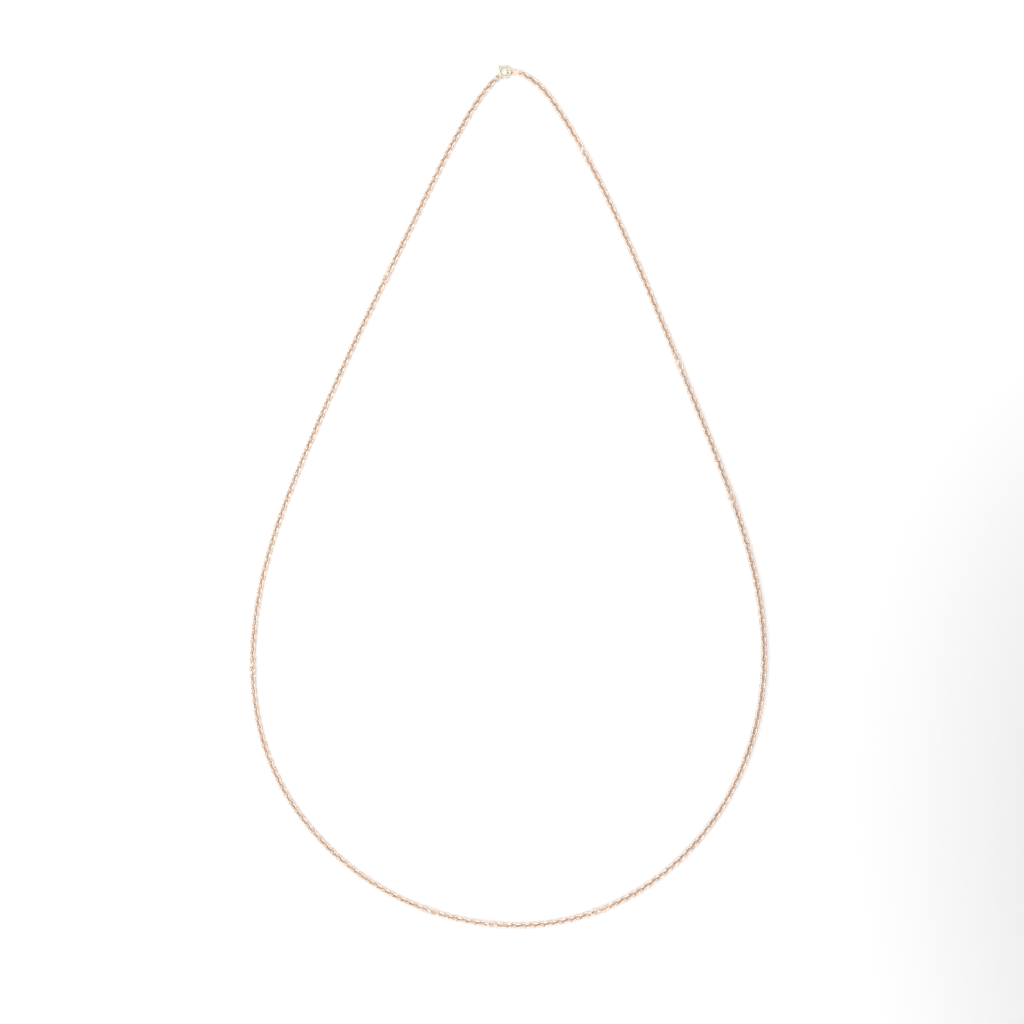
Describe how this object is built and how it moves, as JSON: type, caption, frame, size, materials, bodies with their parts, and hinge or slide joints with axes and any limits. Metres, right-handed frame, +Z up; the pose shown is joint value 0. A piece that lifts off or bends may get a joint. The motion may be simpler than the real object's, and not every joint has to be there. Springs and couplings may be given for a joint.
{
  "type": "chain necklace",
  "caption": "Long fine chain necklace laid flat in a closed teardrop loop, with oval wire links, a spring-ring clasp and a small plain tag.",
  "frame": {"origin": "middle of the necklace's box in plan, on the surface it lies on", "axes": "+Z up from that surface, +Y towards the clasp along the teardrop's length, +X to the right"},
  "size_m": [0.1933, 0.322, 0.0027],
  "materials": {
    "chain_metal": "polished rose-gold plate",
    "clasp_metal": "polished rose-gold plate, slightly yellower",
    "spring_steel": "drawn wire"
  },
  "bodies": {
    "bottom_stretch": {"bottom_stretch": "chain_metal"},
    "left_stretch_01": {"left_stretch_01": "chain_metal"},
    "left_stretch_02": {"left_stretch_02": "chain_metal"},
    "left_stretch_03": {"left_stretch_03": "chain_metal"},
    "left_stretch_04": {"left_stretch_04": "chain_metal"},
    "left_stretch_05": {"left_stretch_05": "chain_metal"},
    "left_stretch_06": {"left_stretch_06": "chain_metal"},
    "left_stretch_07": {"left_stretch_07": "chain_metal"},
    "left_stretch_08": {"left_stretch_08": "chain_metal"},
    "left_stretch_09": {"left_stretch_09": "chain_metal"},
    "left_stretch_10": {"left_stretch_10": "chain_metal"},
    "left_stretch_11": {"left_stretch_11": "chain_metal"},
    "left_stretch_12": {"left_stretch_12": "chain_metal"},
    "left_stretch_13": {"left_stretch_13": "chain_metal"},
    "left_stretch_14": {"left_stretch_14": "chain_metal"},
    "left_stretch_15": {"left_stretch_15": "chain_metal"},
    "left_stretch_16": {"left_stretch_16": "chain_metal"},
    "left_stretch_17": {"left_stretch_17": "chain_metal"},
    "left_stretch_18": {"left_stretch_18": "chain_metal"},
    "left_stretch_19": {"left_stretch_19": "chain_metal"},
    "left_stretch_20": {"left_stretch_20": "chain_metal"},
    "left_stretch_21": {"left_stretch_21": "chain_metal"},
    "left_stretch_22": {"left_stretch_22": "chain_metal"},
    "left_stretch_23": {"left_stretch_23": "chain_metal"},
    "left_stretch_24": {"left_stretch_24": "chain_metal"},
    "left_stretch_25": {"left_stretch_25": "chain_metal"},
    "right_stretch_01": {"right_stretch_01": "chain_metal"},
    "right_stretch_02": {"right_stretch_02": "chain_metal"},
    "right_stretch_03": {"right_stretch_03": "chain_metal"},
    "right_stretch_04": {"right_stretch_04": "chain_metal"},
    "right_stretch_05": {"right_stretch_05": "chain_metal"},
    "right_stretch_06": {"right_stretch_06": "chain_metal"},
    "right_stretch_07": {"right_stretch_07": "chain_metal"},
    "right_stretch_08": {"right_stretch_08": "chain_metal"},
    "right_stretch_09": {"right_stretch_09": "chain_metal"},
    "right_stretch_10": {"right_stretch_10": "chain_metal"},
    "right_stretch_11": {"right_stretch_11": "chain_metal"},
    "right_stretch_12": {"right_stretch_12": "chain_metal"},
    "right_stretch_13": {"right_stretch_13": "chain_metal"},
    "right_stretch_14": {"right_stretch_14": "chain_metal"},
    "right_stretch_15": {"right_stretch_15": "chain_metal"},
    "right_stretch_16": {"right_stretch_16": "chain_metal"},
    "right_stretch_17": {"right_stretch_17": "chain_metal"},
    "right_stretch_18": {"right_stretch_18": "chain_metal"},
    "right_stretch_19": {"right_stretch_19": "chain_metal"},
    "right_stretch_20": {"right_stretch_20": "chain_metal"},
    "right_stretch_21": {"right_stretch_21": "chain_metal"},
    "right_stretch_22": {"right_stretch_22": "chain_metal"},
    "right_stretch_23": {"right_stretch_23": "chain_metal"},
    "right_stretch_24": {"right_stretch_24": "chain_metal"},
    "right_stretch_25": {"right_stretch_25": "chain_metal"},
    "clasp": {"clasp_ring": "clasp_metal", "clasp_eye": "clasp_metal", "clasp_spring": "spring_steel"},
    "bolt": {"clasp_bolt": "clasp_metal", "clasp_thumb_knob": "clasp_metal"},
    "jump_ring": {"clasp_jump_ring": "chain_metal"},
    "tag": {"end_tag": "chain_metal"}
  },
  "joints": [
    {"name": "bolt_draw", "type": "hinge", "parent": "clasp", "child": "bolt", "pos_m": [-0.0012, 0.1587, 0.00108], "axis": [0, 0, 1], "range_deg": [0, 58], "stiffness_Nm_per_rad": 0.002, "springref_deg": -20.05, "deforming": ["clasp_spring"]},
    {"name": "clasp_roll", "type": "hinge", "parent": "left_stretch_25", "child": "clasp", "pos_m": [0.0008, 0.15856, 0.00108], "axis": [0.9183, 0.396, 0], "range_deg": [-10, 6]},
    {"name": "jump_ring_roll", "type": "hinge", "parent": "left_stretch_25", "child": "jump_ring", "pos_m": [-0.00454, 0.1559, 0.00108], "axis": [0.766, 0.6428, 0], "range_deg": [-10, 5]},
    {"name": "tag_roll", "type": "hinge", "parent": "right_stretch_25", "child": "tag", "pos_m": [0.0008, 0.15856, 0.00117], "axis": [0.9903, -0.1392, 0], "range_deg": [-5, 10]},
    {"name": "right_hinge_01", "type": "hinge", "parent": "bottom_stretch", "child": "right_stretch_01", "pos_m": [0.00997, -0.15961, 0.001], "axis": [0, 0, 1], "range_deg": [-8.6, 8.6]},
    {"name": "right_hinge_02", "type": "hinge", "parent": "right_stretch_01", "child": "right_stretch_02", "pos_m": [0.02509, -0.1571, 0.001], "axis": [0, 0, 1], "range_deg": [-12.5, 12.5]},
    {"name": "left_hinge_03", "type": "hinge", "parent": "left_stretch_02", "child": "left_stretch_03", "pos_m": [-0.03502, -0.15211, 0.001], "axis": [0, 0, 1], "range_deg": [-12.6, 12.6]},
    {"name": "right_hinge_19", "type": "hinge", "parent": "right_stretch_18", "child": "right_stretch_19", "pos_m": [0.05725, 0.06546, 0.001], "axis": [0, 0, 1], "range_deg": [-10.5, 10.5]},
    {"name": "left_hinge_05", "type": "hinge", "parent": "left_stretch_04", "child": "left_stretch_05", "pos_m": [-0.06113, -0.1362, 0.001], "axis": [0, 0, 1], "range_deg": [-7.5, 7.5]},
    {"name": "left_hinge_01", "type": "hinge", "parent": "bottom_stretch", "child": "left_stretch_01", "pos_m": [-0.00536, -0.15949, 0.001], "axis": [0, 0, 1], "range_deg": [-3.2, 3.2]},
    {"name": "left_hinge_02", "type": "hinge", "parent": "left_stretch_01", "child": "left_stretch_02", "pos_m": [-0.02047, -0.15694, 0.001], "axis": [0, 0, 1], "range_deg": [-12.5, 12.5]},
    {"name": "left_hinge_04", "type": "hinge", "parent": "left_stretch_03", "child": "left_stretch_04", "pos_m": [-0.04868, -0.14514, 0.001], "axis": [0, 0, 1], "range_deg": [-9.1, 9.1]},
    {"name": "left_hinge_06", "type": "hinge", "parent": "left_stretch_05", "child": "left_stretch_06", "pos_m": [-0.07211, -0.1255, 0.001], "axis": [0, 0, 1], "range_deg": [-1.5, 1.5]},
    {"name": "left_hinge_07", "type": "hinge", "parent": "left_stretch_06", "child": "left_stretch_07", "pos_m": [-0.08131, -0.11324, 0.001], "axis": [0, 0, 1], "range_deg": [-6, 6]},
    {"name": "left_hinge_08", "type": "hinge", "parent": "left_stretch_07", "child": "left_stretch_08", "pos_m": [-0.08839, -0.09964, 0.001], "axis": [0, 0, 1], "range_deg": [-10.6, 10.6]},
    {"name": "left_hinge_09", "type": "hinge", "parent": "left_stretch_08", "child": "left_stretch_09", "pos_m": [-0.09296, -0.08501, 0.001], "axis": [0, 0, 1], "range_deg": [-9.9, 9.9]},
    {"name": "left_hinge_10", "type": "hinge", "parent": "left_stretch_09", "child": "left_stretch_10", "pos_m": [-0.09506, -0.06983, 0.001], "axis": [0, 0, 1], "range_deg": [-13.1, 13.1]},
    {"name": "left_hinge_11", "type": "hinge", "parent": "left_stretch_10", "child": "left_stretch_11", "pos_m": [-0.0951, -0.05449, 0.001], "axis": [0, 0, 1], "range_deg": [-15.3, 15.3]},
    {"name": "left_hinge_12", "type": "hinge", "parent": "left_stretch_11", "child": "left_stretch_12", "pos_m": [-0.09339, -0.03925, 0.001], "axis": [0, 0, 1], "range_deg": [-5.1, 5.1]},
    {"name": "left_hinge_13", "type": "hinge", "parent": "left_stretch_12", "child": "left_stretch_13", "pos_m": [-0.09018, -0.02425, 0.001], "axis": [0, 0, 1], "range_deg": [-2.8, 2.8]},
    {"name": "left_hinge_14", "type": "hinge", "parent": "left_stretch_13", "child": "left_stretch_14", "pos_m": [-0.08573, -0.00957, 0.001], "axis": [0, 0, 1], "range_deg": [-11, 11]},
    {"name": "left_hinge_15", "type": "hinge", "parent": "left_stretch_14", "child": "left_stretch_15", "pos_m": [-0.08041, 0.00483, 0.001], "axis": [0, 0, 1], "range_deg": [-4.6, 4.6]},
    {"name": "left_hinge_16", "type": "hinge", "parent": "left_stretch_15", "child": "left_stretch_16", "pos_m": [-0.07457, 0.01902, 0.001], "axis": [0, 0, 1], "range_deg": [-3.9, 3.9]},
    {"name": "left_hinge_17", "type": "hinge", "parent": "left_stretch_16", "child": "left_stretch_17", "pos_m": [-0.06848, 0.0331, 0.001], "axis": [0, 0, 1], "range_deg": [-4.5, 4.5]},
    {"name": "left_hinge_18", "type": "hinge", "parent": "left_stretch_17", "child": "left_stretch_18", "pos_m": [-0.06219, 0.0471, 0.001], "axis": [0, 0, 1], "range_deg": [-11.3, 11.3]},
    {"name": "left_hinge_19", "type": "hinge", "parent": "left_stretch_18", "child": "left_stretch_19", "pos_m": [-0.0557, 0.06101, 0.001], "axis": [0, 0, 1], "range_deg": [-4, 4]},
    {"name": "left_hinge_20", "type": "hinge", "parent": "left_stretch_19", "child": "left_stretch_20", "pos_m": [-0.04904, 0.07483, 0.001], "axis": [0, 0, 1], "range_deg": [-5.2, 5.2]},
    {"name": "left_hinge_21", "type": "hinge", "parent": "left_stretch_20", "child": "left_stretch_21", "pos_m": [-0.04227, 0.08861, 0.001], "axis": [0, 0, 1], "range_deg": [-15.3, 15.3]},
    {"name": "left_hinge_22", "type": "hinge", "parent": "left_stretch_21", "child": "left_stretch_22", "pos_m": [-0.03552, 0.10239, 0.001], "axis": [0, 0, 1], "range_deg": [-9, 9]},
    {"name": "left_hinge_23", "type": "hinge", "parent": "left_stretch_22", "child": "left_stretch_23", "pos_m": [-0.0288, 0.11618, 0.001], "axis": [0, 0, 1], "range_deg": [-9, 9]},
    {"name": "left_hinge_24", "type": "hinge", "parent": "left_stretch_23", "child": "left_stretch_24", "pos_m": [-0.02184, 0.12986, 0.001], "axis": [0, 0, 1], "range_deg": [-6.9, 6.9]},
    {"name": "left_hinge_25", "type": "hinge", "parent": "left_stretch_24", "child": "left_stretch_25", "pos_m": [-0.01431, 0.14323, 0.001], "axis": [0, 0, 1], "range_deg": [-5, 5]},
    {"name": "right_hinge_03", "type": "hinge", "parent": "right_stretch_02", "child": "right_stretch_03", "pos_m": [0.0395, -0.15188, 0.001], "axis": [0, 0, 1], "range_deg": [-2.8, 2.8]},
    {"name": "right_hinge_04", "type": "hinge", "parent": "right_stretch_03", "child": "right_stretch_04", "pos_m": [0.05279, -0.14425, 0.001], "axis": [0, 0, 1], "range_deg": [-9.9, 9.9]},
    {"name": "right_hinge_05", "type": "hinge", "parent": "right_stretch_04", "child": "right_stretch_05", "pos_m": [0.06464, -0.13453, 0.001], "axis": [0, 0, 1], "range_deg": [-4.8, 4.8]},
    {"name": "right_hinge_06", "type": "hinge", "parent": "right_stretch_05", "child": "right_stretch_06", "pos_m": [0.07478, -0.12303, 0.001], "axis": [0, 0, 1], "range_deg": [-7.5, 7.5]},
    {"name": "right_hinge_07", "type": "hinge", "parent": "right_stretch_06", "child": "right_stretch_07", "pos_m": [0.08301, -0.11009, 0.001], "axis": [0, 0, 1], "range_deg": [-7.6, 7.6]},
    {"name": "right_hinge_08", "type": "hinge", "parent": "right_stretch_07", "child": "right_stretch_08", "pos_m": [0.08922, -0.09608, 0.001], "axis": [0, 0, 1], "range_deg": [-4.7, 4.7]},
    {"name": "right_hinge_09", "type": "hinge", "parent": "right_stretch_08", "child": "right_stretch_09", "pos_m": [0.09332, -0.0813, 0.001], "axis": [0, 0, 1], "range_deg": [-5.8, 5.8]},
    {"name": "right_hinge_10", "type": "hinge", "parent": "right_stretch_09", "child": "right_stretch_10", "pos_m": [0.0953, -0.0661, 0.001], "axis": [0, 0, 1], "range_deg": [-11.9, 11.9]},
    {"name": "right_hinge_11", "type": "hinge", "parent": "right_stretch_10", "child": "right_stretch_11", "pos_m": [0.0952, -0.05076, 0.001], "axis": [0, 0, 1], "range_deg": [-11, 11]},
    {"name": "right_hinge_12", "type": "hinge", "parent": "right_stretch_11", "child": "right_stretch_12", "pos_m": [0.09324, -0.03555, 0.001], "axis": [0, 0, 1], "range_deg": [-3.6, 3.6]},
    {"name": "right_hinge_13", "type": "hinge", "parent": "right_stretch_12", "child": "right_stretch_13", "pos_m": [0.08984, -0.02059, 0.001], "axis": [0, 0, 1], "range_deg": [-6.7, 6.7]},
    {"name": "right_hinge_14", "type": "hinge", "parent": "right_stretch_13", "child": "right_stretch_14", "pos_m": [0.08538, -0.00591, 0.001], "axis": [0, 0, 1], "range_deg": [-6.1, 6.1]},
    {"name": "right_hinge_15", "type": "hinge", "parent": "right_stretch_14", "child": "right_stretch_15", "pos_m": [0.08021, 0.00853, 0.001], "axis": [0, 0, 1], "range_deg": [-3.5, 3.5]},
    {"name": "right_hinge_16", "type": "hinge", "parent": "right_stretch_15", "child": "right_stretch_16", "pos_m": [0.07463, 0.02283, 0.001], "axis": [0, 0, 1], "range_deg": [-11.2, 11.2]},
    {"name": "right_hinge_17", "type": "hinge", "parent": "right_stretch_16", "child": "right_stretch_17", "pos_m": [0.06891, 0.03707, 0.001], "axis": [0, 0, 1], "range_deg": [-5.9, 5.9]},
    {"name": "right_hinge_18", "type": "hinge", "parent": "right_stretch_17", "child": "right_stretch_18", "pos_m": [0.06311, 0.05128, 0.001], "axis": [0, 0, 1], "range_deg": [-14.3, 14.3]},
    {"name": "right_hinge_20", "type": "hinge", "parent": "right_stretch_19", "child": "right_stretch_20", "pos_m": [0.05133, 0.07962, 0.001], "axis": [0, 0, 1], "range_deg": [-7.3, 7.3]},
    {"name": "right_hinge_21", "type": "hinge", "parent": "right_stretch_20", "child": "right_stretch_21", "pos_m": [0.04525, 0.09371, 0.001], "axis": [0, 0, 1], "range_deg": [-5.6, 5.6]},
    {"name": "right_hinge_22", "type": "hinge", "parent": "right_stretch_21", "child": "right_stretch_22", "pos_m": [0.03889, 0.10768, 0.001], "axis": [0, 0, 1], "range_deg": [-7.4, 7.4]},
    {"name": "right_hinge_23", "type": "hinge", "parent": "right_stretch_22", "child": "right_stretch_23", "pos_m": [0.03209, 0.12144, 0.001], "axis": [0, 0, 1], "range_deg": [-3.1, 3.1]},
    {"name": "right_hinge_24", "type": "hinge", "parent": "right_stretch_23", "child": "right_stretch_24", "pos_m": [0.02468, 0.13487, 0.001], "axis": [0, 0, 1], "range_deg": [-0.5, 0.5]},
    {"name": "right_hinge_25", "type": "hinge", "parent": "right_stretch_24", "child": "right_stretch_25", "pos_m": [0.01644, 0.14781, 0.001], "axis": [0, 0, 1], "range_deg": [-2.6, 2.6]}
  ],
  "couplings": [
    {"joint": "right_hinge_06", "follows": "right_hinge_01", "ratio": 0.84238},
    {"joint": "right_hinge_11", "follows": "right_hinge_01", "ratio": -1.2463},
    {"joint": "right_hinge_16", "follows": "right_hinge_01", "ratio": -1.2632},
    {"joint": "right_hinge_21", "follows": "right_hinge_01", "ratio": 0.6158},
    {"joint": "left_hinge_01", "follows": "right_hinge_01", "ratio": -0.33598},
    {"joint": "left_hinge_06", "follows": "right_hinge_01", "ratio": -0.13849},
    {"joint": "left_hinge_11", "follows": "right_hinge_01", "ratio": 1.7479},
    {"joint": "left_hinge_16", "follows": "right_hinge_01", "ratio": 0.42323},
    {"joint": "left_hinge_21", "follows": "right_hinge_01", "ratio": -1.7479},
    {"joint": "right_hinge_07", "follows": "right_hinge_02", "ratio": -0.58536},
    {"joint": "right_hinge_12", "follows": "right_hinge_02", "ratio": -0.26146},
    {"joint": "right_hinge_17", "follows": "right_hinge_02", "ratio": 0.44631},
    {"joint": "right_hinge_22", "follows": "right_hinge_02", "ratio": 0.57167},
    {"joint": "left_hinge_02", "follows": "right_hinge_02", "ratio": 0.97887},
    {"joint": "left_hinge_07", "follows": "right_hinge_02", "ratio": -0.45207},
    {"joint": "left_hinge_12", "follows": "right_hinge_02", "ratio": -0.3833},
    {"joint": "left_hinge_17", "follows": "right_hinge_02", "ratio": 0.33316},
    {"joint": "left_hinge_22", "follows": "right_hinge_02", "ratio": 0.69449},
    {"joint": "right_hinge_03", "follows": "left_hinge_03", "ratio": 0.20091},
    {"joint": "right_hinge_08", "follows": "left_hinge_03", "ratio": 0.3464},
    {"joint": "right_hinge_13", "follows": "left_hinge_03", "ratio": 0.50786},
    {"joint": "right_hinge_18", "follows": "left_hinge_03", "ratio": -1.1132},
    {"joint": "right_hinge_23", "follows": "left_hinge_03", "ratio": 0.21829},
    {"joint": "left_hinge_08", "follows": "left_hinge_03", "ratio": -0.81928},
    {"joint": "left_hinge_13", "follows": "left_hinge_03", "ratio": -0.20074},
    {"joint": "left_hinge_18", "follows": "left_hinge_03", "ratio": 0.87081},
    {"joint": "left_hinge_23", "follows": "left_hinge_03", "ratio": -0.69058},
    {"joint": "right_hinge_04", "follows": "right_hinge_19", "ratio": -0.91692},
    {"joint": "right_hinge_09", "follows": "right_hinge_19", "ratio": 0.52185},
    {"joint": "right_hinge_14", "follows": "right_hinge_19", "ratio": -0.55376},
    {"joint": "right_hinge_24", "follows": "right_hinge_19", "ratio": -0.01618},
    {"joint": "left_hinge_04", "follows": "right_hinge_19", "ratio": -0.83765},
    {"joint": "left_hinge_09", "follows": "right_hinge_19", "ratio": 0.91189},
    {"joint": "left_hinge_14", "follows": "right_hinge_19", "ratio": -1.0152},
    {"joint": "left_hinge_19", "follows": "right_hinge_19", "ratio": 0.35054},
    {"joint": "left_hinge_24", "follows": "right_hinge_19", "ratio": 0.62546},
    {"joint": "right_hinge_05", "follows": "left_hinge_05", "ratio": -0.60277},
    {"joint": "right_hinge_10", "follows": "left_hinge_05", "ratio": 1.552},
    {"joint": "right_hinge_15", "follows": "left_hinge_05", "ratio": -0.42125},
    {"joint": "right_hinge_20", "follows": "left_hinge_05", "ratio": -0.93786},
    {"joint": "right_hinge_25", "follows": "left_hinge_05", "ratio": 0.30274},
    {"joint": "left_hinge_10", "follows": "left_hinge_05", "ratio": -1.7081},
    {"joint": "left_hinge_15", "follows": "left_hinge_05", "ratio": 0.57593},
    {"joint": "left_hinge_20", "follows": "left_hinge_05", "ratio": 0.64977},
    {"joint": "left_hinge_25", "follows": "left_hinge_05", "ratio": -0.62474}
  ]
}
